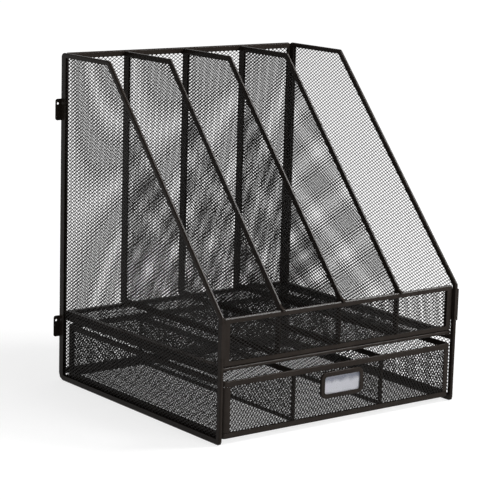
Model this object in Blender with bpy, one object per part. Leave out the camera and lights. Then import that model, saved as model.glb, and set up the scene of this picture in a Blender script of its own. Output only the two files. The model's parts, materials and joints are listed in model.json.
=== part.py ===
"""Desktop file sorter in black steel mesh: four upright sections on a shelf, over a sliding drawer.

Every flat panel is a sheet of expanded mesh held in a folded steel strip. The side panels stand on
the desk and carry the back, the shelf with its front lip, the dividers and the drawer runners.
Metres, +Z up, front towards -Y. The origin is on the desk, in the middle of the base.
"""

import math

import bmesh
import bpy
from mathutils import Vector

# Overall sizes
WIDTH = 0.319
DEPTH = 0.302
HEIGHT = 0.365
TOP_LENGTH = 0.0925
FRONT_HEIGHT = 0.1306
SHELF_HEIGHT = 0.0752

# Clearance between pieces that seat on each other
FIT_GAP = 0.0003

# Folded strip round each panel: its nose is closed and its inner edge is open for the sheet
STRIP_THICKNESS = 0.004
STRIP_NOSE = 0.0013
STRIP_ROUND = 0.0011
INNER_ROUND = 0.0005
CORNER_STEPS = 2

# Expanded sheet, drawn at a coarse pitch that is fitted to each panel
SHEET_THICKNESS = 0.001
MESH_LONG = 0.076
MESH_SHORT = 0.055
MESH_STRAND = 0.0042
SHEET_COVER = 0.001
SMALLEST_HOLE_SHARE = 0.05

# Side panels
SIDE_REAR_STRIP = 0.009
SIDE_TOP_STRIP = 0.005
SIDE_SLOPE_STRIP = 0.0052
SIDE_FRONT_STRIP = 0.0055
SIDE_BASE_STRIP = 0.0063
SIDE_REAR_ROUND = 0.008
SIDE_ROUND = 0.004

# Back panel
BACK_BASE = 0.006
BACK_STRIP = 0.0065
BACK_SIDE_STRIP = 0.0035
BACK_ROUND = 0.003

# Shelf with its closer lattice, the rail under each side of it, and its front lip
SHELF_THICKNESS = 0.004
SHELF_STRIP = 0.0075
SHELF_MESH_LONG = 0.055
SHELF_MESH_SHORT = 0.04
SHELF_ROUND = 0.002
RAIL_HEIGHT = 0.006
RAIL_WIDTH = 0.007
RAIL_WALL = 0.001
LIP_SETBACK = 0.0033
LIP_TOP = 0.1295
LIP_TOP_STRIP = 0.0053
LIP_END_STRIP = 0.009
LIP_BASE_STRIP = 0.005
LIP_ROUND = 0.002

# Channel that holds each end of the lip to the front post of a side panel
CLIP_WALL = 0.0004
CLIP_DEPTH = 0.0055
CLIP_BASE = 0.0906
CLIP_TOP = 0.1255

# Dividers, and the hook that holds each one to the lip
DIVIDER_COUNT = 3
DIVIDER_THICKNESS = 0.0032
DIVIDER_STRIP = 0.006
DIVIDER_REAR_STRIP = 0.01
DIVIDER_ROUND = 0.003
DIVIDER_RISE = 0.0048
DIVIDER_DROP = 0.001
HOOK_WIDTH = 0.0048
HOOK_WALL = 0.0008
HOOK_DROP = 0.005
HOOK_RISE = 0.0034

# Ears at the rear edge, with a hole for a wall screw
EAR_REACH = 0.0062
EAR_OVERLAP = 0.007
EAR_HEIGHT = 0.0237
EAR_THICKNESS = 0.001
EAR_ROUND = 0.0022
EAR_HOLE = 0.0026
EAR_HOLE_DROP = 0.0052
EAR_LOW = 0.0493
EAR_TOP_DROP = 0.05
ROUND_STEPS = 10

# Runners, one angle strip inside each side panel
RUNNER_TOP = 0.005
RUNNER_WALL = 0.001
RUNNER_WIDTH = 0.012
RUNNER_LOW = 0.0015
RUNNER_SETBACK = 0.012

# Drawer
DRAWER_HEIGHT = 0.0598
DRAWER_SIDE_GAP = 0.0013
DRAWER_SETBACK = 0.002
DRAWER_REAR_GAP = 0.0055
DRAWER_ROUND = 0.005
RIM_THICKNESS = 0.0032
RIM_HEIGHT = 0.006
RIM_WALL = 0.0008
RIM_CAP = 0.0012
RIM_ROUND = 0.0012
BASE_HEIGHT = 0.0058
BASE_LEDGE = 0.0015
BASE_FLOOR = 0.001
CORNER_LEG = 0.0092
DRAWER_CORNER_STEPS = 3

# Drawer dividers
TRAY_DIVIDER_PLACE = 0.0595
TRAY_DIVIDER_DROP = 0.0015
TRAY_DIVIDER_TOP_STRIP = 0.0055
TRAY_DIVIDER_END_STRIP = 0.0045
TRAY_DIVIDER_BASE_STRIP = 0.004
TRAY_DIVIDER_ROUND = 0.0015

# Label holder on the drawer front
LABEL_WIDTH = 0.0575
LABEL_HEIGHT = 0.0285
LABEL_STRIP = 0.005
LABEL_ROUND = 0.0075
LABEL_THICKNESS = 0.0028
LABEL_EDGE_ROUND = 0.0009
LABEL_LIP = 0.0009
LABEL_REBATE = 0.002
LABEL_CENTRE = 0.0428
CARD_THICKNESS = 0.0004
WINDOW_THICKNESS = 0.0006

# Sizes that follow from those above
SHEET_GROOVE = SHEET_THICKNESS + 2 * FIT_GAP
SHELF_TOP = SHELF_HEIGHT + SHELF_THICKNESS
FRONT = -DEPTH / 2
REAR = DEPTH / 2
LIP_FACE = FRONT + LIP_SETBACK
BAY_HALF = WIDTH / 2 - STRIP_THICKNESS
BACK_FACE = REAR - STRIP_THICKNESS
DRAWER_HALF = BAY_HALF - DRAWER_SIDE_GAP
DRAWER_FRONT = FRONT + DRAWER_SETBACK
DRAWER_REAR = BACK_FACE - DRAWER_REAR_GAP
DRAWER_BASE = RUNNER_TOP + FIT_GAP
DRAWER_TOP = DRAWER_BASE + DRAWER_HEIGHT
WALL_INSET = RIM_WALL + FIT_GAP + SHEET_THICKNESS / 2

# Turns that stand a flat outline up: across the side, across the front, or lying flat
ACROSS_SIDE = (math.pi / 2, 0, math.pi / 2)
ACROSS_FRONT = (math.pi / 2, 0, 0)
LYING = (0, 0, 0)

STEEL = ("black_steel", (0.022, 0.018, 0.016), 0.42, 0.35)
SHEET_STEEL = ("black_mesh", (0.020, 0.017, 0.015), 0.48, 0.35)
CLEAR = ("clear_plastic", (0.80, 0.83, 0.86), 0.12, 0.0)
CARD = ("white_card", (0.78, 0.78, 0.80), 0.80, 0.0)


def clear_scene():
    """Removes every object the scene starts with."""
    for found in list(bpy.data.objects):
        bpy.data.objects.remove(found)


def material_of(finish):
    """The Principled material of a finish, made once."""
    name, colour, roughness, metallic = finish
    made = bpy.data.materials.get(name)
    if made is None:
        made = bpy.data.materials.new(name)
        made.use_nodes = True
        shader = made.node_tree.nodes["Principled BSDF"]
        shader.inputs["Base Color"].default_value = (*colour, 1)
        shader.inputs["Roughness"].default_value = roughness
        shader.inputs["Metallic"].default_value = metallic
    return made


def place(data, name, finish, turn, location, parent):
    """Adds mesh or curve data to the scene as one named piece."""
    piece = bpy.data.objects.new(name, data)
    data.materials.append(material_of(finish))
    bpy.context.scene.collection.objects.link(piece)
    piece.rotation_euler = turn
    piece.location = location
    piece.parent = parent
    return piece


def group(name):
    """An empty at the origin that holds the pieces of one assembly."""
    made = bpy.data.objects.new(name, None)
    bpy.context.scene.collection.objects.link(made)
    return made


def arc(centre, radius, start, end, steps):
    """Points on an arc, both ends included. Angles in radians."""
    turns = (start + (end - start) * k / steps for k in range(steps + 1))
    return [centre + radius * Vector((math.cos(t), math.sin(t))) for t in turns]


def box_corners(left, right, low, high):
    """The corners of an upright rectangle, counterclockwise from its lower left."""
    return [(left, low), (right, low), (right, high), (left, high)]


def inset_corners(corners, insets):
    """Corners of a convex counterclockwise outline whose edges each move inwards by their own inset."""
    points = [Vector(corner) for corner in corners]
    count = len(points)
    lines = []
    for k, inset in enumerate(insets):
        along = (points[(k + 1) % count] - points[k]).normalized()
        inward = Vector((-along.y, along.x))
        lines.append((points[k] + inward * inset, along))
    moved = []
    for k in range(count):
        start, along = lines[k]
        other, beside = lines[k - 1]
        across = Vector((-beside.y, beside.x))
        moved.append(start + along * ((other - start).dot(across) / along.dot(across)))
    return moved


def rounded_outline(corners, radii, insets, steps=CORNER_STEPS):
    """A closed outline, moved inwards edge by edge, with every corner rounded about its own centre."""
    points = inset_corners(corners, insets)
    count = len(points)
    outline = []
    for k, corner in enumerate(points):
        radius = max(radii[k] - min(insets[k - 1], insets[k]), INNER_ROUND)
        back = (points[k - 1] - corner).normalized()
        ahead = (points[(k + 1) % count] - corner).normalized()
        half = back.angle(ahead) / 2
        centre = corner + (back + ahead).normalized() * radius / math.sin(half)
        swing = math.pi - 2 * half
        first = math.atan2(ahead.y, ahead.x) - math.pi / 2 - swing
        outline += arc(centre, radius, first, first + swing, steps)
    return outline


def folded_mesh(name, path_at, profile, closed=True):
    """A section along a loop or an open path: path_at gives it for an inset, profile is (inset, height)."""
    shape = bmesh.new()
    loops = []
    for inset, height in profile:
        loops.append([shape.verts.new((*point, height)) for point in path_at(inset)])
    first = 0 if closed else 1
    for loop, following in zip(loops, loops[1:] + loops[:1]):
        for k in range(first, len(loop)):
            shape.faces.new((loop[k - 1], loop[k], following[k], following[k - 1]))
    if not closed:
        for end in (0, -1):
            shape.faces.new([loop[end] for loop in loops])
    bmesh.ops.recalc_face_normals(shape, faces=shape.faces)
    data = bpy.data.meshes.new(name)
    shape.to_mesh(data)
    shape.free()
    return data


def plate_curve(name, outline, holes, thickness):
    """A flat plate with holes, as a filled curve with an extrusion centred on its plane."""
    data = bpy.data.curves.new(name, "CURVE")
    data.dimensions = "2D"
    data.fill_mode = "BOTH"
    data.extrude = thickness / 2
    for loop in [outline, *holes]:
        spline = data.splines.new("POLY")
        spline.points.add(len(loop) - 1)
        for point, place_at in zip(spline.points, loop):
            point.co = (place_at[0], place_at[1], 0, 1)
        spline.use_cyclic_u = True
    return data


def cut_by_line(loop, start, along):
    """The part of a convex loop to the left of a line."""
    kept = []
    across = Vector((-along.y, along.x))
    sides = [(point - start).dot(across) for point in loop]
    for k, point in enumerate(loop):
        before, side_before = loop[k - 1], sides[k - 1]
        if (sides[k] > 0) != (side_before > 0):
            kept.append(before.lerp(point, side_before / (side_before - sides[k])))
        if sides[k] > 0:
            kept.append(point)
    return kept


def area_of(loop):
    """The area inside a closed loop."""
    return abs(sum(loop[k - 1].cross(loop[k]) for k in range(len(loop)))) / 2


def fitted_pitch(size, pitch):
    """The pitch (across, up) next to the one given that goes a whole number of times into a panel."""
    return [length / max(round(length / step), 1) for length, step in zip(size, pitch)]


def diamond_holes(region, pitch):
    """The diamonds of an expanded sheet inside a convex region. Those on its edge are cut off there."""
    low = Vector((min(point.x for point in region), min(point.y for point in region)))
    high = Vector((max(point.x for point in region), max(point.y for point in region)))
    across, up = fitted_pitch(high - low, pitch)
    strand_share = MESH_STRAND * math.hypot(across, up) / (across * up)
    reach = Vector((across, up)) * (1 - strand_share) / 2
    columns = round(2 * (high.x - low.x) / across)
    rows = round(2 * (high.y - low.y) / up)
    holes = []
    for column in range(columns + 1):
        for row in range(rows + 1):
            if (column + row) % 2:
                continue
            centre = low + Vector((column * across, row * up)) / 2
            tips = ((reach.x, 0), (0, reach.y), (-reach.x, 0), (0, -reach.y))
            loop = [centre + Vector(tip) for tip in tips]
            for k, corner in enumerate(region):
                along = (corner - region[k - 1]).normalized()
                loop = cut_by_line(loop, region[k - 1], along)
            if len(loop) > 2 and area_of(loop) > SMALLEST_HOLE_SHARE * across * up / 2:
                holes.append(loop)
    return holes


def fold_profile(thickness, strips):
    """Section of a folded strip as (share of the strip's width, added inset, height)."""
    half = thickness / 2
    mouth = SHEET_GROOVE / 2
    nose = [(0, STRIP_ROUND, half), (0, 0, half - STRIP_ROUND)]
    cheek = [(1, 0, mouth), (1, 0, half)]
    groove = [(0, STRIP_NOSE, mouth)]
    upper = groove + cheek + nose
    lower = [(share, added, -height) for share, added, height in reversed(upper)]
    return [([share * strip + added for strip in strips], height) for share, added, height in upper + lower]


def folded_panel(name, corners, radii, strips, pitch, turn, location, parent, thickness=STRIP_THICKNESS):
    """A framed panel: the folded strip NAME_frame and the expanded sheet NAME_mesh inside it."""
    ring = folded_mesh(
        name + "_frame",
        lambda insets: rounded_outline(corners, radii, insets),
        fold_profile(thickness, strips),
    )
    place(ring, name + "_frame", STEEL, turn, location, parent)
    edge = [STRIP_NOSE + FIT_GAP] * len(corners)
    region = inset_corners(corners, [strip - SHEET_COVER for strip in strips])
    sheet = plate_curve(
        name + "_mesh", rounded_outline(corners, radii, edge), diamond_holes(region, pitch), SHEET_THICKNESS
    )
    place(sheet, name + "_mesh", SHEET_STEEL, turn, location, parent)


def side_panels(parent):
    """The two side panels, which stand on the desk."""
    corners = [(FRONT, 0), (REAR, 0), (REAR, HEIGHT), (REAR - TOP_LENGTH, HEIGHT), (FRONT, FRONT_HEIGHT)]
    radii = [SIDE_ROUND, SIDE_REAR_ROUND, SIDE_ROUND, SIDE_ROUND, SIDE_ROUND]
    strips = [SIDE_BASE_STRIP, SIDE_REAR_STRIP, SIDE_TOP_STRIP, SIDE_SLOPE_STRIP, SIDE_FRONT_STRIP]
    middle = WIDTH / 2 - STRIP_THICKNESS / 2
    for name, hand in (("left_side", -1), ("right_side", 1)):
        place_at = (hand * middle, 0, 0)
        folded_panel(name, corners, radii, strips, (MESH_LONG, MESH_SHORT), ACROSS_SIDE, place_at, parent)


def back_panel(parent):
    """The back panel, between the side panels."""
    half = BAY_HALF - FIT_GAP
    corners = box_corners(-half, half, BACK_BASE, HEIGHT)
    strips = [BACK_STRIP, BACK_SIDE_STRIP, BACK_STRIP, BACK_SIDE_STRIP]
    place_at = (0, REAR - STRIP_THICKNESS / 2, 0)
    folded_panel(
        "back", corners, [BACK_ROUND] * 4, strips, (MESH_LONG, MESH_SHORT), ACROSS_FRONT, place_at, parent
    )


def shelf(parent):
    """The shelf under the files and the lip that stands on its front edge."""
    half = BAY_HALF - FIT_GAP
    corners = box_corners(-half, half, LIP_FACE, BACK_FACE - FIT_GAP)
    place_at = (0, 0, SHELF_HEIGHT + SHELF_THICKNESS / 2)
    folded_panel(
        "shelf",
        corners,
        [SHELF_ROUND] * 4,
        [SHELF_STRIP] * 4,
        (SHELF_MESH_LONG, SHELF_MESH_SHORT),
        LYING,
        place_at,
        parent,
        SHELF_THICKNESS,
    )
    half = BAY_HALF - 2 * FIT_GAP - CLIP_WALL
    corners = box_corners(-half, half, SHELF_TOP + FIT_GAP, LIP_TOP)
    strips = [LIP_BASE_STRIP, LIP_END_STRIP, LIP_TOP_STRIP, LIP_END_STRIP]
    place_at = (0, LIP_FACE + STRIP_THICKNESS / 2, 0)
    folded_panel(
        "lip", corners, [LIP_ROUND] * 4, strips, (MESH_LONG, MESH_SHORT), ACROSS_FRONT, place_at, parent
    )


def lip_clips(parent):
    """The channels at the ends of the lip, each wrapped round a front post from the front."""
    post_half = STRIP_THICKNESS / 2 + FIT_GAP
    outer_half = post_half + CLIP_WALL
    outline = [
        (-outer_half, -FIT_GAP - CLIP_WALL),
        (outer_half, -FIT_GAP - CLIP_WALL),
        (outer_half, CLIP_DEPTH),
        (post_half, CLIP_DEPTH),
        (post_half, -FIT_GAP),
        (-post_half, -FIT_GAP),
        (-post_half, CLIP_DEPTH),
        (-outer_half, CLIP_DEPTH),
    ]
    middle = WIDTH / 2 - STRIP_THICKNESS / 2
    tall = CLIP_TOP - CLIP_BASE
    for name, hand in (("left_lip_clip", -1), ("right_lip_clip", 1)):
        data = plate_curve(name, outline, [], tall)
        place(data, name, STEEL, LYING, (hand * middle, FRONT, CLIP_BASE + tall / 2), parent)


def dividers(parent):
    """The upright dividers between lip and back, each with its hook over the lip."""
    low, near, far = SHELF_TOP + FIT_GAP, LIP_FACE + STRIP_THICKNESS + FIT_GAP, BACK_FACE - FIT_GAP
    top, crest = HEIGHT - DIVIDER_DROP, LIP_TOP + DIVIDER_RISE
    corners = [(near, low), (far, low), (far, top), (REAR - TOP_LENGTH, top), (near, crest)]
    strips = [DIVIDER_STRIP, DIVIDER_REAR_STRIP, DIVIDER_STRIP, DIVIDER_STRIP, DIVIDER_STRIP]
    hook_low, hook_seat = LIP_TOP - HOOK_DROP, LIP_TOP + FIT_GAP
    hook_front = LIP_FACE - FIT_GAP - HOOK_WALL
    hook = [
        (hook_front, hook_low),
        (LIP_FACE - FIT_GAP, hook_low),
        (LIP_FACE - FIT_GAP, hook_seat),
        (near - FIT_GAP, hook_seat),
        (near - FIT_GAP, LIP_TOP + HOOK_RISE),
        (hook_front, hook_seat + HOOK_WALL),
    ]
    section = WIDTH / (DIVIDER_COUNT + 1)
    for k in range(DIVIDER_COUNT):
        across = section * (k + 1) - WIDTH / 2
        name = f"divider_{k + 1}"
        folded_panel(
            name,
            corners,
            [DIVIDER_ROUND] * 5,
            strips,
            (MESH_LONG, MESH_SHORT),
            ACROSS_SIDE,
            (across, 0, 0),
            parent,
            DIVIDER_THICKNESS,
        )
        data = plate_curve(name + "_hook", hook, [], HOOK_WIDTH)
        place(data, name + "_hook", STEEL, ACROSS_SIDE, (across, 0, 0), parent)


def ears(parent):
    """Four flat ears behind the rear corners, drilled for a wall screw."""
    inner, outer = WIDTH / 2 - EAR_OVERLAP, WIDTH / 2 + EAR_REACH
    corners = box_corners(inner, outer, 0, EAR_HEIGHT)
    plate = rounded_outline(corners, [EAR_ROUND] * 4, [0] * 4)
    hole_at = Vector(((WIDTH / 2 + outer) / 2, EAR_HEIGHT - EAR_HOLE_DROP))
    hole = arc(hole_at, EAR_HOLE / 2, 0, 2 * math.pi, ROUND_STEPS)[:-1]
    for side, hand in (("left", -1), ("right", 1)):
        outline = [(hand * x, z) for x, z in plate]
        drilled = [(hand * x, z) for x, z in hole]
        for level, height in (("lower", EAR_LOW), ("upper", HEIGHT - EAR_TOP_DROP - EAR_HEIGHT)):
            name = f"{side}_{level}_ear"
            data = plate_curve(name, outline, [drilled], EAR_THICKNESS)
            place_at = (0, REAR + FIT_GAP + EAR_THICKNESS / 2, height)
            place(data, name, STEEL, ACROSS_FRONT, place_at, parent)


def angle_strips(parent, name, top, drop, width, wall, length):
    """A left and a right angle strip along the inside of the side panels, from the back panel forwards."""
    beside = BAY_HALF - FIT_GAP
    angle = [
        (beside, top - drop),
        (beside, top),
        (beside - width, top),
        (beside - width, top - wall),
        (beside - wall, top - wall),
        (beside - wall, top - drop),
    ]
    rear = BACK_FACE - FIT_GAP
    for side, hand in (("left", -1), ("right", 1)):
        outline = [(hand * x, z) for x, z in angle]
        data = plate_curve(f"{side}_{name}", outline, [], length)
        place(data, f"{side}_{name}", STEEL, ACROSS_FRONT, (0, rear - length / 2, 0), parent)


def runners(parent):
    """The strips that the drawer slides on."""
    length = BACK_FACE - FIT_GAP - FRONT - RUNNER_SETBACK
    angle_strips(parent, "runner", RUNNER_TOP, RUNNER_TOP - RUNNER_LOW, RUNNER_WIDTH, RUNNER_WALL, length)


def shelf_rails(parent):
    """The strips that carry the sides of the shelf."""
    length = BACK_FACE - FIT_GAP - FRONT - STRIP_THICKNESS
    angle_strips(parent, "shelf_rail", SHELF_HEIGHT - FIT_GAP, RAIL_HEIGHT, RAIL_WIDTH, RAIL_WALL, length)


def drawer_outline(insets):
    """The drawer's plan, moved inwards."""
    corners = box_corners(-DRAWER_HALF, DRAWER_HALF, DRAWER_FRONT, DRAWER_REAR)
    return rounded_outline(corners, [DRAWER_ROUND] * 4, [insets] * 4, DRAWER_CORNER_STEPS)


def rim_path(side, inset):
    """The path of one strip of a drawer rim. The front and rear ones turn the corners."""
    outline = drawer_outline(inset)
    half = len(outline) // 2
    if side == "front":
        return outline[:half]
    if side == "rear":
        return outline[half:]
    start, stop = (outline[half - 1], outline[half]) if side == "right" else (outline[-1], outline[0])
    slack = (stop - start).normalized() * FIT_GAP
    return [start + slack, stop - slack]


def drawer_rims(parent):
    """The folded strips along the top of the drawer and the channels round its base, four of each."""
    turned = RIM_ROUND * (1 - math.sqrt(0.5))
    groove_out = RIM_WALL
    groove_in = RIM_WALL + SHEET_GROOVE
    top = [
        (0, 0),
        (0, RIM_HEIGHT - RIM_ROUND),
        (turned, RIM_HEIGHT - turned),
        (RIM_ROUND, RIM_HEIGHT),
        (RIM_THICKNESS - RIM_ROUND, RIM_HEIGHT),
        (RIM_THICKNESS - turned, RIM_HEIGHT - turned),
        (RIM_THICKNESS, RIM_HEIGHT - RIM_ROUND),
        (RIM_THICKNESS, 0),
        (groove_in, 0),
        (groove_in, RIM_HEIGHT - RIM_CAP),
        (groove_out, RIM_HEIGHT - RIM_CAP),
        (groove_out, 0),
    ]
    base = [
        (RIM_ROUND, 0),
        (turned, turned),
        (0, RIM_ROUND),
        (0, BASE_HEIGHT),
        (groove_out, BASE_HEIGHT),
        (groove_out, RIM_CAP),
        (groove_in, RIM_CAP),
        (groove_in, BASE_HEIGHT),
        (RIM_THICKNESS, BASE_HEIGHT),
        (RIM_THICKNESS, BASE_FLOOR),
        (RIM_THICKNESS + BASE_LEDGE, BASE_FLOOR),
        (RIM_THICKNESS + BASE_LEDGE, 0),
    ]
    for level, section, height in (("top", top, DRAWER_TOP - RIM_HEIGHT), ("base", base, DRAWER_BASE)):
        for side in ("front", "right", "rear", "left"):
            name = f"drawer_{side}_{level}_rim"
            data = folded_mesh(name, lambda inset: rim_path(side, inset), section, closed=False)
            place(data, name, STEEL, LYING, (0, 0, height), parent)


def drawer_corners(parent):
    """The four bent strips that cover the drawer's upright corners."""
    centre = Vector((DRAWER_ROUND, DRAWER_ROUND))
    quarter = (math.pi, 1.5 * math.pi)
    outer = arc(centre, DRAWER_ROUND, *quarter, DRAWER_CORNER_STEPS)
    inner = arc(centre, DRAWER_ROUND - RIM_WALL, *reversed(quarter), DRAWER_CORNER_STEPS)
    ends = [(CORNER_LEG, 0), (CORNER_LEG, RIM_WALL)]
    outline = [*outer, *ends, *inner, (RIM_WALL, CORNER_LEG), (0, CORNER_LEG)]
    low = DRAWER_BASE + BASE_HEIGHT + FIT_GAP
    tall = DRAWER_TOP - RIM_HEIGHT - FIT_GAP - low
    places = (
        ("front_left", 0, (-DRAWER_HALF, DRAWER_FRONT)),
        ("front_right", 1, (DRAWER_HALF, DRAWER_FRONT)),
        ("rear_right", 2, (DRAWER_HALF, DRAWER_REAR)),
        ("rear_left", 3, (-DRAWER_HALF, DRAWER_REAR)),
    )
    for where, quarter_turns, corner in places:
        name = f"drawer_{where}_corner"
        data = plate_curve(name, outline, [], tall)
        turn = (0, 0, quarter_turns * math.pi / 2)
        place(data, name, STEEL, turn, (*corner, low + tall / 2), parent)


def drawer_sheets(parent):
    """The expanded sheets of the drawer. The upright ones stand in the grooves, with their long way up."""
    low = DRAWER_BASE + RIM_CAP + FIT_GAP
    high = DRAWER_TOP - RIM_CAP - FIT_GAP
    open_low, open_high = DRAWER_BASE + BASE_HEIGHT, DRAWER_TOP - RIM_HEIGHT
    end = DRAWER_ROUND + FIT_GAP
    wide = (-DRAWER_HALF + end, DRAWER_HALF - end)
    deep = (DRAWER_FRONT + end, DRAWER_REAR - end)
    walls = (
        ("drawer_front_mesh", wide, ACROSS_FRONT, (0, DRAWER_FRONT + WALL_INSET, 0)),
        ("drawer_back_mesh", wide, ACROSS_FRONT, (0, DRAWER_REAR - WALL_INSET, 0)),
        ("drawer_left_mesh", deep, ACROSS_SIDE, (-DRAWER_HALF + WALL_INSET, 0, 0)),
        ("drawer_right_mesh", deep, ACROSS_SIDE, (DRAWER_HALF - WALL_INSET, 0, 0)),
    )
    for name, (start, stop), turn, place_at in walls:
        border = CORNER_LEG - end
        region = box_corners(start + border, stop - border, open_low, open_high)
        holes = diamond_holes([Vector(point) for point in region], (MESH_SHORT, MESH_LONG))
        data = plate_curve(name, box_corners(start, stop, low, high), holes, SHEET_THICKNESS)
        place(data, name, SHEET_STEEL, turn, place_at, parent)
    outline = drawer_outline(RIM_THICKNESS + FIT_GAP)
    inner = RIM_THICKNESS + BASE_LEDGE
    corners = box_corners(-DRAWER_HALF, DRAWER_HALF, DRAWER_FRONT, DRAWER_REAR)
    holes = diamond_holes(inset_corners(corners, [inner] * 4), (MESH_LONG, MESH_SHORT))
    data = plate_curve("drawer_floor_mesh", outline, holes, SHEET_THICKNESS)
    height = DRAWER_BASE + BASE_FLOOR + FIT_GAP + SHEET_THICKNESS / 2
    place(data, "drawer_floor_mesh", SHEET_STEEL, LYING, (0, 0, height), parent)


def drawer_dividers(parent):
    """The two framed dividers that part the drawer into three."""
    floor_top = DRAWER_BASE + BASE_FLOOR + FIT_GAP + SHEET_THICKNESS
    inside = RIM_THICKNESS + FIT_GAP
    corners = box_corners(
        DRAWER_FRONT + inside, DRAWER_REAR - inside, floor_top + FIT_GAP, DRAWER_TOP - TRAY_DIVIDER_DROP
    )
    end_strip = TRAY_DIVIDER_END_STRIP
    strips = [TRAY_DIVIDER_BASE_STRIP, end_strip, TRAY_DIVIDER_TOP_STRIP, end_strip]
    for name, hand in (("drawer_left_divider", -1), ("drawer_right_divider", 1)):
        folded_panel(
            name,
            corners,
            [TRAY_DIVIDER_ROUND] * 4,
            strips,
            (MESH_LONG, MESH_SHORT),
            ACROSS_SIDE,
            (hand * TRAY_DIVIDER_PLACE, 0, 0),
            parent,
            DIVIDER_THICKNESS,
        )


def label_holder(parent):
    """The label frame on the drawer front, with its card behind a clear window."""
    half_wide, half_tall = LABEL_WIDTH / 2, LABEL_HEIGHT / 2
    corners = box_corners(-half_wide, half_wide, -half_tall, half_tall)
    turned = LABEL_EDGE_ROUND * (1 - math.sqrt(0.5))
    rebate = LABEL_STRIP - LABEL_REBATE
    seat = LABEL_THICKNESS - LABEL_LIP
    section = [
        (0, 0),
        (0, LABEL_THICKNESS - LABEL_EDGE_ROUND),
        (turned, LABEL_THICKNESS - turned),
        (LABEL_EDGE_ROUND, LABEL_THICKNESS),
        (LABEL_STRIP, LABEL_THICKNESS),
        (LABEL_STRIP, seat),
        (rebate, seat),
        (rebate, 0),
    ]

    def label_outline(inset):
        return rounded_outline(corners, [LABEL_ROUND] * 4, [inset] * 4, DRAWER_CORNER_STEPS)

    behind = DRAWER_FRONT + WALL_INSET - SHEET_THICKNESS / 2 - FIT_GAP
    frame = folded_mesh("label_frame", label_outline, section)
    place(frame, "label_frame", STEEL, ACROSS_FRONT, (0, behind, LABEL_CENTRE), parent)
    leaf = label_outline(rebate + FIT_GAP)
    card_at = behind - FIT_GAP - CARD_THICKNESS / 2
    card = plate_curve("label_card", leaf, [], CARD_THICKNESS)
    place(card, "label_card", CARD, ACROSS_FRONT, (0, card_at, LABEL_CENTRE), parent)
    window_at = behind - seat + FIT_GAP + WINDOW_THICKNESS / 2
    window = plate_curve("label_window", leaf, [], WINDOW_THICKNESS)
    place(window, "label_window", CLEAR, ACROSS_FRONT, (0, window_at, LABEL_CENTRE), parent)


def main():
    """Builds the stand and the drawer."""
    clear_scene()
    stand = group("stand")
    side_panels(stand)
    back_panel(stand)
    shelf_rails(stand)
    shelf(stand)
    lip_clips(stand)
    dividers(stand)
    ears(stand)
    runners(stand)
    drawer = group("drawer")
    drawer_rims(drawer)
    drawer_corners(drawer)
    drawer_sheets(drawer)
    drawer_dividers(drawer)
    label_holder(drawer)


main()
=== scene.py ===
"""Looks of a desk file sorter in black steel mesh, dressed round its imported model.

Every sheet of the model gets the fine expanded mesh of the real product, every folded strip gets soft
edges, and all of it gets a powder coat. Metres, +Z up, front towards -Y.
"""

import json
import logging
import math
from dataclasses import dataclass
from enum import Enum

import bpy
import numpy as np
from mathutils import Matrix, Vector


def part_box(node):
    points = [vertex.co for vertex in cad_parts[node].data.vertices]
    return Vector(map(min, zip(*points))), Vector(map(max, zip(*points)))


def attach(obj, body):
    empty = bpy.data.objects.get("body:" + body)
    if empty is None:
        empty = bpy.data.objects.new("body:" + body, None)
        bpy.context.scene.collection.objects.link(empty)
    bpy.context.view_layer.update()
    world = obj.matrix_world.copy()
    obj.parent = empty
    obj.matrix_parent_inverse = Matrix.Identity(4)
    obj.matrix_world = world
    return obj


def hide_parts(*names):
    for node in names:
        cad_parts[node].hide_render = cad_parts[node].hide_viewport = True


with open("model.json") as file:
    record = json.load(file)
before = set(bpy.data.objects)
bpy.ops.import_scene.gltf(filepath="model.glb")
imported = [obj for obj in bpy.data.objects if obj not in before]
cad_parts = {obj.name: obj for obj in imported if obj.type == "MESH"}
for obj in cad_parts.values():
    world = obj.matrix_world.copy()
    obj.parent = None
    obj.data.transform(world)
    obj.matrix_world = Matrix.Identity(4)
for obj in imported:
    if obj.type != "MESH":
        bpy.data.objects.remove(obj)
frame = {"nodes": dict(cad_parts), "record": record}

log = logging.getLogger("sorter")

MM = 0.001
PHOTO_SIDE_PX = 500
SENSOR_WIDTH_MM = 36.0
WHITE = (1.0, 1.0, 1.0, 1.0)

Socket = bpy.types.NodeSocket
Inputs = dict[str | int, object]

# The Mix node's sockets by number, because several share a name
MIX_FACTOR = 0
MIX_FIRST_NUMBER, MIX_SECOND_NUMBER, MIXED_NUMBER = 2, 3, 0
MIX_FIRST_COLOUR, MIX_SECOND_COLOUR, MIXED_COLOUR = 6, 7, 2

# Shares of a half pitch within which a point of a cell lies on its middle line or on its edge
ON_MIDDLE = 0.0001
ON_EDGE = 0.9999


class Plane(Enum):
    """The plane that a sheet stands in, as its across and up directions."""

    SIDE = (Vector((0, 1, 0)), Vector((0, 0, 1)))
    FRONT = (Vector((1, 0, 0)), Vector((0, 0, 1)))
    FLAT = (Vector((1, 0, 0)), Vector((0, 1, 0)))

    @property
    def across(self) -> Vector:
        """The sheet's direction from left to right."""
        return self.value[0]

    @property
    def up(self) -> Vector:
        """The sheet's upward direction."""
        return self.value[1]


class Way(Enum):
    """The way that the long diagonal of a sheet's diamonds lies."""

    ACROSS = "across"
    UP = "up"


def deselect() -> None:
    """Leaves edit mode and selects nothing."""
    if bpy.context.object and bpy.context.object.mode != "OBJECT":
        bpy.ops.object.mode_set(mode="OBJECT")
    bpy.ops.object.select_all(action="DESELECT")


def pick(piece: bpy.types.Object) -> None:
    """Selects one piece and makes it the active one.

    Args:
        piece: The piece that the next operators act on.
    """
    deselect()
    piece.select_set(True)
    bpy.context.view_layer.objects.active = piece


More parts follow.
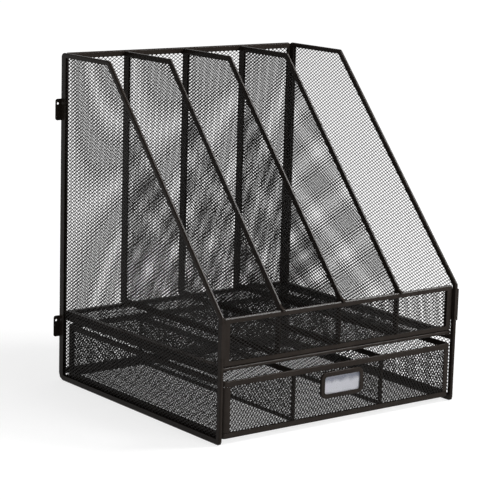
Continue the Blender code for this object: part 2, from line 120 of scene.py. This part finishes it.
def apply_modifier(piece: bpy.types.Object, kind: str, **settings: object) -> None:
    """Adds a modifier to a piece and applies it.

    Args:
        piece: The piece to change.
        kind: Blender's name for the type of modifier.
        settings: The modifier's settings by name.
    """
    pick(piece)
    modifier = piece.modifiers.new(kind.lower(), kind)
    for name, value in settings.items():
        setattr(modifier, name, value)
    bpy.ops.object.modifier_apply(modifier=modifier.name)


def select_faces(piece: bpy.types.Object, mask: np.ndarray) -> None:
    """Selects the faces of a piece by a mask and enters edit mode.

    Args:
        piece: The piece whose faces are selected.
        mask: True for each face that is wanted.
    """
    pick(piece)
    bpy.ops.object.mode_set(mode="EDIT")
    bpy.ops.mesh.select_mode(type="FACE")
    bpy.ops.mesh.select_all(action="DESELECT")
    bpy.ops.object.mode_set(mode="OBJECT")
    piece.data.polygons.foreach_set("select", mask)
    bpy.ops.object.mode_set(mode="EDIT")


def face_centres(piece: bpy.types.Object) -> np.ndarray:
    """The centres of a piece's faces.

    Args:
        piece: The piece, in object mode.

    Returns:
        One row of three for each face.
    """
    centres = np.zeros(len(piece.data.polygons) * 3, np.float32)
    piece.data.polygons.foreach_get("center", centres)
    return centres.reshape(-1, 3)


def dress(piece: bpy.types.Object, finish: bpy.types.Material) -> None:
    """Gives a piece its one material.

    Args:
        piece: The piece to dress.
        finish: Its material.
    """
    piece.data.materials.clear()
    piece.data.materials.append(finish)


def stand_for(piece: bpy.types.Object, node: str) -> None:
    """Lets a piece ride in place of a node of the model.

    Args:
        piece: The finished piece.
        node: The node that it replaces.
    """
    body = next(name for name, nodes in frame["record"]["behaviour"]["bodies"].items() if node in nodes)
    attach(piece, body)
    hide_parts(node)


class Nodes:
    """A small helper that adds shader nodes to a tree and links them.

    Wherever a method takes a number or a colour, it takes the output socket that feeds it as well.
    """

    def __init__(self, tree: bpy.types.NodeTree) -> None:
        """Keeps the tree that the nodes go into."""
        self.tree = tree

    def fill(self, node: bpy.types.Node, inputs: Inputs) -> None:
        """Sets or links a node's inputs.

        Args:
            node: The node.
            inputs: Name or number of each input, with its value or the output socket that feeds it.
        """
        for name, value in inputs.items():
            if isinstance(value, Socket):
                self.tree.links.new(value, node.inputs[name])
            else:
                node.inputs[name].default_value = value

    def add(self, kind: str, inputs: Inputs | None = None, **settings: object) -> bpy.types.Node:
        """Adds a node.

        Args:
            kind: Blender's name for the type of node.
            inputs: What its inputs are set to or fed by.
            settings: The node's own settings by name.

        Returns:
            The new node.
        """
        node = self.tree.nodes.new(kind)
        for name, value in settings.items():
            setattr(node, name, value)
        self.fill(node, inputs or {})
        return node

    def place(self) -> Socket:
        """The Object coordinates of the point that is shaded."""
        return self.add("ShaderNodeTexCoord").outputs["Object"]

    def noise(self, place: object, scale: object, detail: float, roughness: float = 0.5) -> Socket:
        """Adds a noise texture.

        Args:
            place: The coordinates.
            scale: Its scale.
            detail: How many finer layers it has.
            roughness: How strong those are.

        Returns:
            The noise's value.
        """
        inputs = {"Vector": place, "Scale": scale, "Detail": detail, "Roughness": roughness}
        return self.add("ShaderNodeTexNoise", inputs).outputs[0]

    def ramp(
        self, value: object, start: float, end: float, low: float = 0.0, high: float = 1.0, **settings: object
    ) -> Socket:
        """Takes a value from one range to another.

        Args:
            value: The value.
            start: What becomes low.
            end: What becomes high.
            low: The result up to the start.
            high: The result from the end on.
            settings: The node's own settings by name.

        Returns:
            The new value.
        """
        inputs = {"Value": value, "From Min": start, "From Max": end, "To Min": low, "To Max": high}
        return self.add("ShaderNodeMapRange", inputs, **settings).outputs["Result"]

    def compute(self, operation: str, *values: object) -> Socket:
        """Adds a Math node.

        Args:
            operation: What it does.
            values: Its inputs in order.

        Returns:
            Its result.
        """
        return self.add("ShaderNodeMath", dict(enumerate(values)), operation=operation).outputs[0]

    def mix(self, share: object, first: object, second: object, **settings: object) -> Socket:
        """Mixes two colours.

        Args:
            share: The share of the second one.
            first: The first colour.
            second: The second colour.
            settings: The node's own settings by name.

        Returns:
            The mixed colour.
        """
        inputs = {MIX_FACTOR: share, MIX_FIRST_COLOUR: first, MIX_SECOND_COLOUR: second}
        return self.add("ShaderNodeMix", inputs, data_type="RGBA", **settings).outputs[MIXED_COLOUR]

    def bump(self, height: object, strength: float, distance: float) -> Socket:
        """Turns a height into a bent normal.

        Args:
            height: The height, from 0 to 1.
            strength: How much of it shows.
            distance: How far 1 stands out.

        Returns:
            The normal.
        """
        inputs = {"Height": height, "Strength": strength, "Distance": distance}
        return self.add("ShaderNodeBump", inputs).outputs["Normal"]


@dataclass(frozen=True)
class CoatGrain:
    """The texture of a powder coat, as a group that every coated finish places with its own values."""

    name: str = "coat_grain"
    peel_detail: float = 3.0
    peel_roughness: float = 0.55
    cloud_detail: float = 4.0
    cloud_roughness: float = 0.6
    speck_core: float = 0.05
    speck_rim: float = 0.22

    def group(self) -> bpy.types.NodeTree:
        """The group of shader nodes.

        Returns:
            A group with the inputs Vector, Peel Scale, Cloud Scale and the outputs Peel, Cloud, Speck,
            built once.
        """
        found = bpy.data.node_groups.get(self.name)
        if found:
            return found
        made = bpy.data.node_groups.new(self.name, "ShaderNodeTree")
        made.interface.new_socket("Vector", in_out="INPUT", socket_type="NodeSocketVector")
        for scale in ("Peel Scale", "Cloud Scale"):
            made.interface.new_socket(scale, in_out="INPUT", socket_type="NodeSocketFloat")
        for output in ("Peel", "Cloud", "Speck"):
            made.interface.new_socket(output, in_out="OUTPUT", socket_type="NodeSocketFloat")
        nodes = Nodes(made)
        given = nodes.add("NodeGroupInput").outputs
        place, peel_scale, cloud_scale = given["Vector"], given["Peel Scale"], given["Cloud Scale"]
        dots = nodes.add("ShaderNodeTexVoronoi", {"Vector": place, "Scale": peel_scale}, feature="F1")
        nodes.add(
            "NodeGroupOutput",
            {
                "Peel": nodes.noise(place, peel_scale, self.peel_detail, self.peel_roughness),
                "Cloud": nodes.noise(place, cloud_scale, self.cloud_detail, self.cloud_roughness),
                "Speck": nodes.ramp(dots.outputs["Distance"], self.speck_core, self.speck_rim, 1.0, 0.0),
            },
        )
        return made


@dataclass(frozen=True)
class Finish:
    """A finish that pieces share."""

    name: str

    def material(self) -> bpy.types.Material:
        """The finish as a material.

        Returns:
            The material, built once.
        """
        found = bpy.data.materials.get(self.name)
        if found:
            return found
        made = bpy.data.materials.new(self.name)
        made.use_nodes = True
        self.paint(Nodes(made.node_tree), made.node_tree.nodes["Principled BSDF"])
        return made

    def paint(self, nodes: Nodes, shader: bpy.types.Node) -> None:
        """Sets the shader up. Each kind of finish has its own way.

        Args:
            nodes: The helper of the material.
            shader: Its Principled shader.
        """
        raise NotImplementedError


@dataclass(frozen=True)
class PowderCoat(Finish):
    """A satin powder coat on steel, with a fine peel, soft clouds of tone and dark specks."""

    dark: tuple[float, float, float]
    light: tuple[float, float, float]
    smooth: float
    rough: float
    shine: float
    peel_scale: float = 2200.0
    peel_range: tuple[float, float] = (0.3, 0.7)
    peel_strength: float = 0.55
    peel_height: float = 0.02 * MM
    cloud_scale: float = 38.0
    cloud_range: tuple[float, float] = (0.35, 0.7)
    speck_shade: float = 0.7

    def paint(self, nodes: Nodes, shader: bpy.types.Node) -> None:
        """Sets the shader up.

        Args:
            nodes: The helper of the material.
            shader: Its Principled shader.
        """
        grain = nodes.add(
            "ShaderNodeGroup",
            {"Vector": nodes.place(), "Peel Scale": self.peel_scale, "Cloud Scale": self.cloud_scale},
            node_tree=CoatGrain().group(),
        )
        peel, cloud, speck = (grain.outputs[name] for name in ("Peel", "Cloud", "Speck"))
        colour = nodes.mix(nodes.ramp(cloud, *self.cloud_range), (*self.dark, 1), (*self.light, 1))
        speck_colour = (*[self.speck_shade] * 3, 1)
        nodes.fill(
            shader,
            {
                "Base Color": nodes.mix(speck, colour, speck_colour, blend_type="MULTIPLY"),
                "Roughness": nodes.ramp(peel, *self.peel_range, self.smooth, self.rough),
                "Normal": nodes.bump(peel, self.peel_strength, self.peel_height),
                "Specular IOR Level": self.shine,
            },
        )


@dataclass(frozen=True)
class PaperCard(Finish):
    """Plain uncoated card with a faint fibre pattern, and painted shade as a soft grey band along its top,
    where the frame's lip would shade it.
    """

    name: str = "plain_card"
    colour: tuple[float, float, float] = (0.66, 0.65, 0.68)
    roughness: float = 0.8
    fibre_scale: float = 900.0
    fibre_detail: float = 5.0
    fibre_shade: float = 0.9
    fibre_strength: float = 0.3
    fibre_height: float = 0.05 * MM
    # The band and its limits are painted shade: a darker grey along the card's top that stands in for the
    # frame's shadow
    band: tuple[float, float, float] = (0.17, 0.18, 0.23)
    painted_shade_low: float = 43.0 * MM
    painted_shade_high: float = 49.5 * MM
    waver: float = 7.0 * MM
    waver_scale: float = 110.0
    waver_detail: float = 3.0

    def paint(self, nodes: Nodes, shader: bpy.types.Node) -> None:
        """Sets the shader up. The painted shade's lower edge wavers with a noise.

        Args:
            nodes: The helper of the material.
            shader: Its Principled shader.
        """
        place = nodes.place()
        fibre = nodes.noise(place, self.fibre_scale, self.fibre_detail)
        shaded = [part * self.fibre_shade for part in self.colour]
        card = nodes.mix(fibre, (*shaded, 1), (*self.colour, 1))
        height = nodes.add("ShaderNodeSeparateXYZ", {"Vector": place}).outputs["Z"]
        cloud = nodes.noise(place, self.waver_scale, self.waver_detail)
        moved = nodes.compute("MULTIPLY_ADD", cloud, self.waver, height)
        start, end = self.painted_shade_low + self.waver / 2, self.painted_shade_high + self.waver / 2
        share = nodes.ramp(moved, start, end, interpolation_type="SMOOTHSTEP")
        nodes.fill(
            shader,
            {
                # Mixes the painted shade of the band into the card's colour towards its top
                "Base Color": nodes.mix(share, card, (*self.band, 1)),
                "Normal": nodes.bump(fibre, self.fibre_strength, self.fibre_height),
                "Roughness": self.roughness,
            },
        )


@dataclass(frozen=True)
class ClearFilm(Finish):
    """The clear plastic of the label window, with faint scuffs."""

    name: str = "clear_film"
    colour: tuple[float, float, float] = (0.95, 0.96, 0.98)
    index: float = 1.46
    scuff_scale: float = 160.0
    scuff_detail: float = 6.0
    scuff_range: tuple[float, float] = (0.4, 0.8)
    smooth: float = 0.05
    rough: float = 0.22

    def paint(self, nodes: Nodes, shader: bpy.types.Node) -> None:
        """Sets the shader up.

        Args:
            nodes: The helper of the material.
            shader: Its Principled shader.
        """
        scuff = nodes.noise(nodes.place(), self.scuff_scale, self.scuff_detail)
        nodes.fill(
            shader,
            {
                "Base Color": (*self.colour, 1),
                "Roughness": nodes.ramp(scuff, *self.scuff_range, self.smooth, self.rough),
                "Transmission Weight": 1.0,
                "IOR": self.index,
            },
        )


STRIP_COAT = PowderCoat(
    name="strip_coat",
    dark=(0.0225, 0.0175, 0.0145),
    light=(0.0310, 0.0245, 0.0205),
    smooth=0.20,
    rough=0.28,
    shine=0.06,
)
MESH_COAT = PowderCoat(
    name="mesh_coat",
    dark=(0.0085, 0.0070, 0.0061),
    light=(0.0125, 0.0104, 0.0090),
    smooth=0.34,
    rough=0.48,
    shine=0.14,
)


@dataclass
class ExpandedSheet:
    """A sheet of fine expanded steel mesh in the place of a coarse one of the model.

    A slope is a point on the line that the sheet stops at and the line's outward direction. A sheet that
    shows only some of its rows has a name of its own for that share of the node.
    """

    node: str
    plane: Plane
    way: Way = Way.ACROSS
    slope: tuple[Vector, Vector] | None = None
    share_name: str = ""
    rows_shown: tuple[float, float] = (0.0, 1.0)
    long_pitch: float = 5.95 * MM
    short_pitch: float = 3.82 * MM
    strand: float = 0.62 * MM
    thickness: float = 0.45 * MM
    lean: float = 0.2 * MM
    weld: float = 0.01 * MM

    def cell(self, half_long: float, half_short: float) -> bpy.types.Object:
        """One diamond of strands, cut off at the middles of its four bonds.

        Args:
            half_long: Half the long pitch.
            half_short: Half the short pitch.

        Returns:
            The diamond, lying flat round the origin, with a flat end at each of its four bonds.
        """
        share = self.strand * math.hypot(half_long, half_short) / (2 * half_long * half_short)
        deselect()
        bpy.ops.mesh.primitive_circle_add(vertices=4, radius=1, fill_type="NGON")
        cell = bpy.context.object
        cell.name = self.node.replace("_mesh", f"{self.share_name}_expanded_mesh")
        bpy.ops.object.mode_set(mode="EDIT")
        bpy.ops.transform.resize(value=(half_long * (1 + share), half_short * (1 + share), 1))
        bpy.ops.mesh.inset(thickness=self.strand)
        bpy.ops.mesh.delete(type="FACE")
        for limit in (Vector((half_long, 0, 0)), Vector((0, half_short, 0))):
            for end in (limit, -limit):
                bpy.ops.mesh.select_all(action="SELECT")
                bpy.ops.mesh.bisect(plane_co=end, plane_no=end.normalized(), clear_outer=True)
        bpy.ops.object.mode_set(mode="OBJECT")
        apply_modifier(cell, "SOLIDIFY", thickness=self.thickness, offset=0)
        self.tilt(cell, half_long, half_short, share)
        return cell

    def tilt(self, cell: bpy.types.Object, half_long: float, half_short: float, share: float) -> None:
        """Tilts the strands of a cell as the slitting press leaves them.

        Args:
            cell: The flat cell with its thickness.
            half_long: Half the long pitch.
            half_short: Half the short pitch.
            share: Half the strand's width as a share of the diamond.
        """
        for vertex in cell.data.vertices:
            across, up = abs(vertex.co.x) / half_long, vertex.co.y / half_short
            if ON_MIDDLE < abs(up) < ON_EDGE:
                vertex.co.z -= math.copysign(self.lean, up) * (across + abs(up) - 1) / share

    def build(self) -> bpy.types.Object:
        """Makes the sheet and puts it in the node's place.

        Returns:
            The finished sheet.
        """
        low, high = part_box(self.node)
        across, up = self.plane.across, self.plane.up
        if self.way is Way.UP:
            across, up = up, across
        width, height = abs((high - low).dot(across)), abs((high - low).dot(up))
        columns, rows = round(width / self.long_pitch), round(height / self.short_pitch)
        long_step, short_step = width / columns, height / rows
        sheet = self.cell(long_step / 2, short_step / 2)
        centres = face_centres(sheet) / (long_step / 2, short_step / 2, 1)
        for count, step in ((columns, (long_step, 0, 0)), (rows, (0, short_step, 0))):
            apply_modifier(
                sheet,
                "ARRAY",
                count=count,
                use_relative_offset=False,
                use_constant_offset=True,
                constant_offset_displace=step,
            )
        start = (low + high - across * (width - long_step) - up * (height - short_step)) / 2
        middles = np.array(start) + (
            np.arange(rows)[:, None, None] * short_step * np.array(up)
            + np.arange(columns)[None, :, None] * long_step * np.array(across)
        )
        kept = np.ones((rows, columns), bool)
        if self.slope:
            point, outward = self.slope
            reach = max(abs(outward.dot(across)) * long_step, abs(outward.dot(up)) * short_step) / 2
            kept = (middles - np.array(point)) @ np.array(outward) <= -reach
        kept[: round(rows * self.rows_shown[0])] = False
        kept[round(rows * self.rows_shown[1]) :] = False
        select_faces(sheet, self.spare_faces(kept, centres).ravel())
        bpy.ops.mesh.delete(type="FACE")
        bpy.ops.mesh.select_all(action="SELECT")
        bpy.ops.mesh.remove_doubles(threshold=self.weld)
        bpy.ops.mesh.normals_make_consistent(inside=False)
        bpy.ops.object.mode_set(mode="OBJECT")
        turn = Matrix((across, up, across.cross(up))).transposed().to_4x4()
        sheet.matrix_world = Matrix.Translation(start) @ turn
        pick(sheet)
        bpy.ops.object.transform_apply(location=True, rotation=True, scale=True)
        dress(sheet, MESH_COAT.material())
        stand_for(sheet, self.node)
        log.info("%s: %d of %d by %d diamonds", sheet.name, kept.sum(), columns, rows)
        return sheet

    @staticmethod
    def spare_faces(kept: np.ndarray, centres: np.ndarray) -> np.ndarray:
        """Finds the faces of the cells that go, and the flat ends where two kept cells meet.

        Args:
            kept: True for each cell that stays, by row and column.
            centres: The centres of one cell's faces, in half pitches from its middle.

        Returns:
            True for each face to delete, by row, column and face.
        """
        rows, columns = kept.shape
        spare = np.repeat(~kept[:, :, None], len(centres), axis=2)
        framed = np.pad(kept, 1)
        for row, column in ((0, 1), (0, -1), (1, 0), (-1, 0)):
            beside = framed[1 + row : 1 + row + rows, 1 + column : 1 + column + columns]
            end = centres[:, 0] * column + centres[:, 1] * row > ON_EDGE
            spare |= (kept & beside)[:, :, None] & end
        return spare


@dataclass
class SteelPiece:
    """A steel piece of the model with its edges rounded as a press and a powder coat leave them."""

    node: str
    slot: str = "black_steel"
    round_width: float = 0.35 * MM
    segments: int = 2
    weld: float = 0.001 * MM
    flat_angle: float = math.radians(1)
    sharp_angle: float = math.radians(24)
    smooth_angle: float = math.radians(40)

    def form(self, piece: bpy.types.Object) -> None:
        """Gives a piece the forms that its solid lacks. A plain piece has none.

        Args:
            piece: The merged copy of the solid, in object mode.
        """

    def build(self) -> bpy.types.Object:
        """Copies the node's solid, merges it, forms it and rounds its edges.

        Returns:
            The finished piece.
        """
        piece = bpy.data.objects.new(self.node + "_coated", frame["nodes"][self.node].data.copy())
        bpy.context.scene.collection.objects.link(piece)
        pick(piece)
        bpy.ops.object.mode_set(mode="EDIT")
        bpy.ops.mesh.select_all(action="SELECT")
        bpy.ops.mesh.remove_doubles(threshold=self.weld)
        bpy.ops.mesh.dissolve_limited(angle_limit=self.flat_angle)
        bpy.ops.object.mode_set(mode="OBJECT")
        self.form(piece)
        apply_modifier(
            piece,
            "BEVEL",
            width=self.round_width,
            segments=self.segments,
            limit_method="ANGLE",
            angle_limit=self.sharp_angle,
            miter_outer="MITER_ARC",
            use_clamp_overlap=True,
        )
        bpy.ops.object.shade_smooth_by_angle(angle=self.smooth_angle)
        apply_modifier(piece, "WEIGHTED_NORMAL", keep_sharp=True)
        dress(piece, STRIP_COAT.material())
        stand_for(piece, self.node)
        log.info("%s: %d faces", piece.name, len(piece.data.polygons))
        return piece


@dataclass
class LipFrame(SteelPiece):
    """The folded strip round the lip, with its ends bent back towards the side panels."""

    bend: float = 2.2 * MM
    bend_steps: int = 4
    end_strip: float = 9.0 * MM
    shown_strip: float = 7.8 * MM
    inner_round: float = 2.5 * MM
    slack: float = 0.35 * MM

    def form(self, piece: bpy.types.Object) -> None:
        """Narrows the end strips and bends them.

        Args:
            piece: The merged copy of the solid, in object mode.
        """
        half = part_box(self.node)[1].x
        mouth = half - self.end_strip
        for vertex in piece.data.vertices:
            if mouth - self.inner_round < abs(vertex.co.x) < mouth + self.slack:
                vertex.co.x += math.copysign(self.end_strip - self.shown_strip, vertex.co.x)
        pick(piece)
        bpy.ops.object.mode_set(mode="EDIT")
        for step in range(self.bend_steps):
            reach = half - self.bend + self.bend * math.sin(math.pi / 2 * step / self.bend_steps)
            for hand in (-1, 1):
                bpy.ops.mesh.select_all(action="SELECT")
                bpy.ops.mesh.bisect(plane_co=(hand * reach, 0, 0), plane_no=(1, 0, 0))
        bpy.ops.object.mode_set(mode="OBJECT")
        for vertex in piece.data.vertices:
            past = min(max(abs(vertex.co.x) - half + self.bend, 0.0), self.bend)
            vertex.co.y += self.bend - math.sqrt(self.bend**2 - past**2)


@dataclass
class LipClip(SteelPiece):
    """The thin channel that wraps an end of the lip round a front post."""

    shave: float = 0.25 * MM

    def form(self, piece: bpy.types.Object) -> None:
        """Thins the walls from outside to those of a pressed sheet.

        Args:
            piece: The merged copy of the solid, in object mode.
        """
        low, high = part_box(self.node)
        for vertex in piece.data.vertices:
            vertex.co.x = min(max(vertex.co.x, low.x + self.shave), high.x - self.shave)
            vertex.co.y = max(vertex.co.y, low.y + self.shave)


@dataclass
class DividerFrame(SteelPiece):
    """The folded strip round a divider, pressed thin, with a flat nose that catches the light."""

    cheek_half: float = 1.3 * MM
    nose_half: float = 1.0 * MM
    groove_half: float = 0.8 * MM
    slack: float = 0.1 * MM

    def form(self, piece: bpy.types.Object) -> None:
        """Thins the strip from outside and widens the flat of its nose.

        Args:
            piece: The merged copy of the solid, in object mode.
        """
        low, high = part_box(self.node)
        middle = (low.x + high.x) / 2
        for vertex in piece.data.vertices:
            out = abs(vertex.co.x - middle)
            if abs(out - self.groove_half) > self.slack:
                out = self.cheek_half if out > self.groove_half else self.nose_half
                vertex.co.x = middle + math.copysign(out, vertex.co.x - middle)


@dataclass
class DividerHook(SteelPiece):
    """The small hook by which a divider holds on to the lip."""

    drop: float = 1.8 * MM
    slimness: float = 0.7

    def form(self, piece: bpy.types.Object) -> None:
        """Shortens the hook's front and slims it.

        Args:
            piece: The merged copy of the solid, in object mode.
        """
        low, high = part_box(self.node)
        lip_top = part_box("lip_frame")[1].z
        middle = (low.x + high.x) / 2
        for vertex in piece.data.vertices:
            vertex.co.z = max(vertex.co.z, lip_top - self.drop)
            vertex.co.x = middle + (vertex.co.x - middle) * self.slimness


def steel_piece(node: str) -> SteelPiece:
    """The kind of piece that dresses a steel node.

    Args:
        node: The node's name.

    Returns:
        The piece, not yet built.
    """
    if node == "lip_frame":
        return LipFrame(node)
    if node.endswith("_clip"):
        return LipClip(node)
    if node.endswith("_hook"):
        return DividerHook(node)
    if node.startswith("divider_"):
        return DividerFrame(node)
    return SteelPiece(node)


def build_steel(body: str) -> None:
    """Makes the steel pieces of a body.

    Args:
        body: The body's name.
    """
    for node in frame["record"]["behaviour"]["bodies"][body]:
        if not node.endswith(("_mesh", "_card", "_window")):
            steel_piece(node).build()


@dataclass
class Stand:
    """The fixed part: side panels, back, shelf, lip, dividers, ears and rails."""

    top_length: float = 92.5 * MM
    front_height: float = 130.6 * MM
    divider_rise: float = 4.8 * MM
    cover: float = 1.6 * MM

    def slope_of(self, node: str, front_height: float) -> tuple[Vector, Vector]:
        """The line that the sheet of a sloping panel stops at.

        Args:
            node: The panel's frame.
            front_height: Where its slope starts at the front.

        Returns:
            A point on the line and its outward direction.
        """
        low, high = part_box(node)
        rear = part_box("left_side_frame")[1].y
        front_end = Vector((0, low.y, front_height))
        top_end = Vector((0, rear - self.top_length, high.z))
        along = (top_end - front_end).normalized()
        outward = Vector((0, -along.z, along.y))
        return front_end - outward * self.cover, outward

    def build(self) -> None:
        """Makes the sheets and the steel pieces."""
        divider_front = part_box("lip_frame")[1].z + self.divider_rise
        fronts = {"left_side": self.front_height, "right_side": self.front_height}
        fronts |= {f"divider_{number}": divider_front for number in (1, 2, 3)}
        for panel, front_height in fronts.items():
            slope = self.slope_of(f"{panel}_frame", front_height)
            ExpandedSheet(f"{panel}_mesh", Plane.SIDE, slope=slope).build()
        # The back's sheet is two pieces, because one would have more than 200,000 triangles
        for share_name, rows in (("_lower", (0.0, 0.5)), ("_upper", (0.5, 1.0))):
            ExpandedSheet("back_mesh", Plane.FRONT, share_name=share_name, rows_shown=rows).build()
        ExpandedSheet("lip_mesh", Plane.FRONT).build()
        ExpandedSheet("shelf_mesh", Plane.FLAT).build()
        build_steel("stand")


@dataclass
class Drawer:
    """The sliding drawer with its two dividers and its label holder."""

    card: Finish = PaperCard()
    window: Finish = ClearFilm()

    def build(self) -> None:
        """Makes the sheets and the steel pieces, and dresses the label."""
        for wall in ("front", "back"):
            ExpandedSheet(f"drawer_{wall}_mesh", Plane.FRONT, Way.UP).build()
        for wall in ("left", "right"):
            ExpandedSheet(f"drawer_{wall}_mesh", Plane.SIDE, Way.UP).build()
            ExpandedSheet(f"drawer_{wall}_divider_mesh", Plane.SIDE).build()
        ExpandedSheet("drawer_floor_mesh", Plane.FLAT).build()
        build_steel("drawer")
        for node, finish in (("label_card", self.card), ("label_window", self.window)):
            materials = frame["nodes"][node].data.materials
            materials.clear()
            materials.append(finish.material())
            log.info("%s: dressed as %s", node, finish.name)


@dataclass(frozen=True)
class Lamp:
    """A square soft light, with the length of its side in metres and its power in watts."""

    name: str
    at: tuple[float, float, float]
    size: float
    power: float

    def hang(self, aim: Vector) -> None:
        """Adds the light.

        Args:
            aim: The point that it faces.
        """
        light = bpy.data.lights.new(self.name, "AREA")
        light.size = self.size
        light.energy = self.power
        lamp = bpy.data.objects.new(self.name, light)
        lamp.location = self.at
        lamp.rotation_euler = (aim - Vector(self.at)).to_track_quat("-Z", "Y").to_euler()
        bpy.context.scene.collection.objects.link(lamp)


@dataclass
class Studio:
    """The floor, the soft lights and the camera.

    The floor is white to the camera at every distance, and grey enough there for the object's shadow. It
    and the world show themselves in gloss and glass as they do to the camera.
    """

    camera_at: tuple[float, float, float] = (-1.301, -1.6701, 0.5844)
    azimuth: float = 0.65784
    elevation: float = 0.19897
    roll: float = 0.0278
    focal_px: float = 1978.95
    lamp_aim: tuple[float, float, float] = (0, 0, 0.15)
    lamps: tuple[Lamp, ...] = (
        Lamp("key", (1.4, -0.75, 1.95), 0.6, 40),
        Lamp("top", (0.2, 0.4, 2.3), 1.4, 9),
        Lamp("side", (-1.75, -1.5, 0.4), 0.8, 4),
        Lamp("fill", (0.5, -2.2, 1.1), 1.4, 26),
    )
    floor_size: float = 60.0
    floor_drop: float = 0.2 * MM
    floor_roughness: float = 0.9
    near_floor: float = 0.6
    far_floor: float = 2.5
    near_glow: float = 0.76
    far_glow: float = 0.97
    shown_grey: float = 0.36
    bounce_grey: float = 0.4
    surround: float = 0.16
    backdrop: float = 1.0
    backdrop_top: float = 0.55

    @staticmethod
    def seen_or_mirrored(nodes: Nodes) -> Socket:
        """A mask of the rays that show the surroundings as they are.

        Args:
            nodes: The helper of the material or world.

        Returns:
            An output that is 1 for a camera, glossy or transmission ray and 0 for any other.
        """
        ray = nodes.add("ShaderNodeLightPath").outputs
        mirrored = nodes.compute("MAXIMUM", ray["Is Glossy Ray"], ray["Is Transmission Ray"])
        return nodes.compute("MAXIMUM", ray["Is Camera Ray"], mirrored)

    def floor(self) -> None:
        """A wide pale floor that shows white to the camera and keeps the shadow."""
        deselect()
        bpy.ops.mesh.primitive_plane_add(size=self.floor_size, location=(0, 0, -self.floor_drop))
        floor = bpy.context.object
        floor.name = "floor"
        made = bpy.data.materials.new("pale_floor")
        made.use_nodes = True
        nodes = Nodes(made.node_tree)
        shown = self.seen_or_mirrored(nodes)
        away = nodes.add("ShaderNodeVectorMath", {0: nodes.place()}, operation="LENGTH").outputs["Value"]
        glow = nodes.ramp(away, self.near_floor, self.far_floor, self.near_glow, self.far_glow)
        bounced, seen = ((*[grey] * 3, 1) for grey in (self.bounce_grey, self.shown_grey))
        nodes.fill(
            made.node_tree.nodes["Principled BSDF"],
            {
                "Base Color": nodes.mix(shown, bounced, seen),
                "Emission Color": WHITE,
                "Emission Strength": nodes.compute("MULTIPLY", shown, glow),
                "Roughness": self.floor_roughness,
                "Specular IOR Level": 0.0,
            },
        )
        floor.data.materials.append(made)

    def world(self) -> None:
        """A dim even surround that shows a white backdrop round the horizon to the camera and in gloss."""
        world = bpy.data.worlds.new("surround")
        world.use_nodes = True
        nodes = Nodes(world.node_tree)
        place = nodes.add("ShaderNodeTexCoord").outputs["Generated"]
        height = nodes.add("ShaderNodeSeparateXYZ", {"Vector": place}).outputs["Z"]
        band = nodes.ramp(height, 0.0, self.backdrop_top, self.backdrop, self.surround)
        inputs = {
            MIX_FACTOR: self.seen_or_mirrored(nodes),
            MIX_FIRST_NUMBER: self.surround,
            MIX_SECOND_NUMBER: band,
        }
        strength = nodes.add("ShaderNodeMix", inputs, data_type="FLOAT").outputs[MIXED_NUMBER]
        nodes.fill(world.node_tree.nodes["Background"], {"Color": WHITE, "Strength": strength})
        bpy.context.scene.world = world

    def camera(self) -> None:
        """The camera at the photograph's place."""
        ahead = Vector(
            (
                math.sin(self.azimuth) * math.cos(self.elevation),
                math.cos(self.azimuth) * math.cos(self.elevation),
                -math.sin(self.elevation),
            )
        )
        level = Vector((math.cos(self.azimuth), -math.sin(self.azimuth), 0))
        raised = level.cross(ahead)
        right = math.cos(self.roll) * level + math.sin(self.roll) * raised
        upward = -math.sin(self.roll) * level + math.cos(self.roll) * raised
        data = bpy.data.cameras.new("camera")
        data.sensor_width = SENSOR_WIDTH_MM
        data.lens = self.focal_px / PHOTO_SIDE_PX * SENSOR_WIDTH_MM
        data.clip_end = self.floor_size
        camera = bpy.data.objects.new("camera", data)
        turn = Matrix((right, upward, -ahead)).transposed().to_4x4()
        camera.matrix_world = Matrix.Translation(self.camera_at) @ turn
        bpy.context.scene.collection.objects.link(camera)
        bpy.context.scene.camera = camera

    def build(self) -> None:
        """Sets the stage."""
        self.camera()
        self.floor()
        self.world()
        for lamp in self.lamps:
            lamp.hang(Vector(self.lamp_aim))
        bpy.context.scene.view_settings.view_transform = "Standard"


def main() -> None:
    """Builds the stage, the stand and the drawer."""
    logging.basicConfig(level=logging.INFO, format="%(relativeCreated)7.0f ms  %(message)s")
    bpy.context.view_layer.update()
    for part in (Studio(), Stand(), Drawer()):
        part.build()
        log.info("built %s", type(part).__name__)
    deselect()


if __name__ == "__main__":
    main()
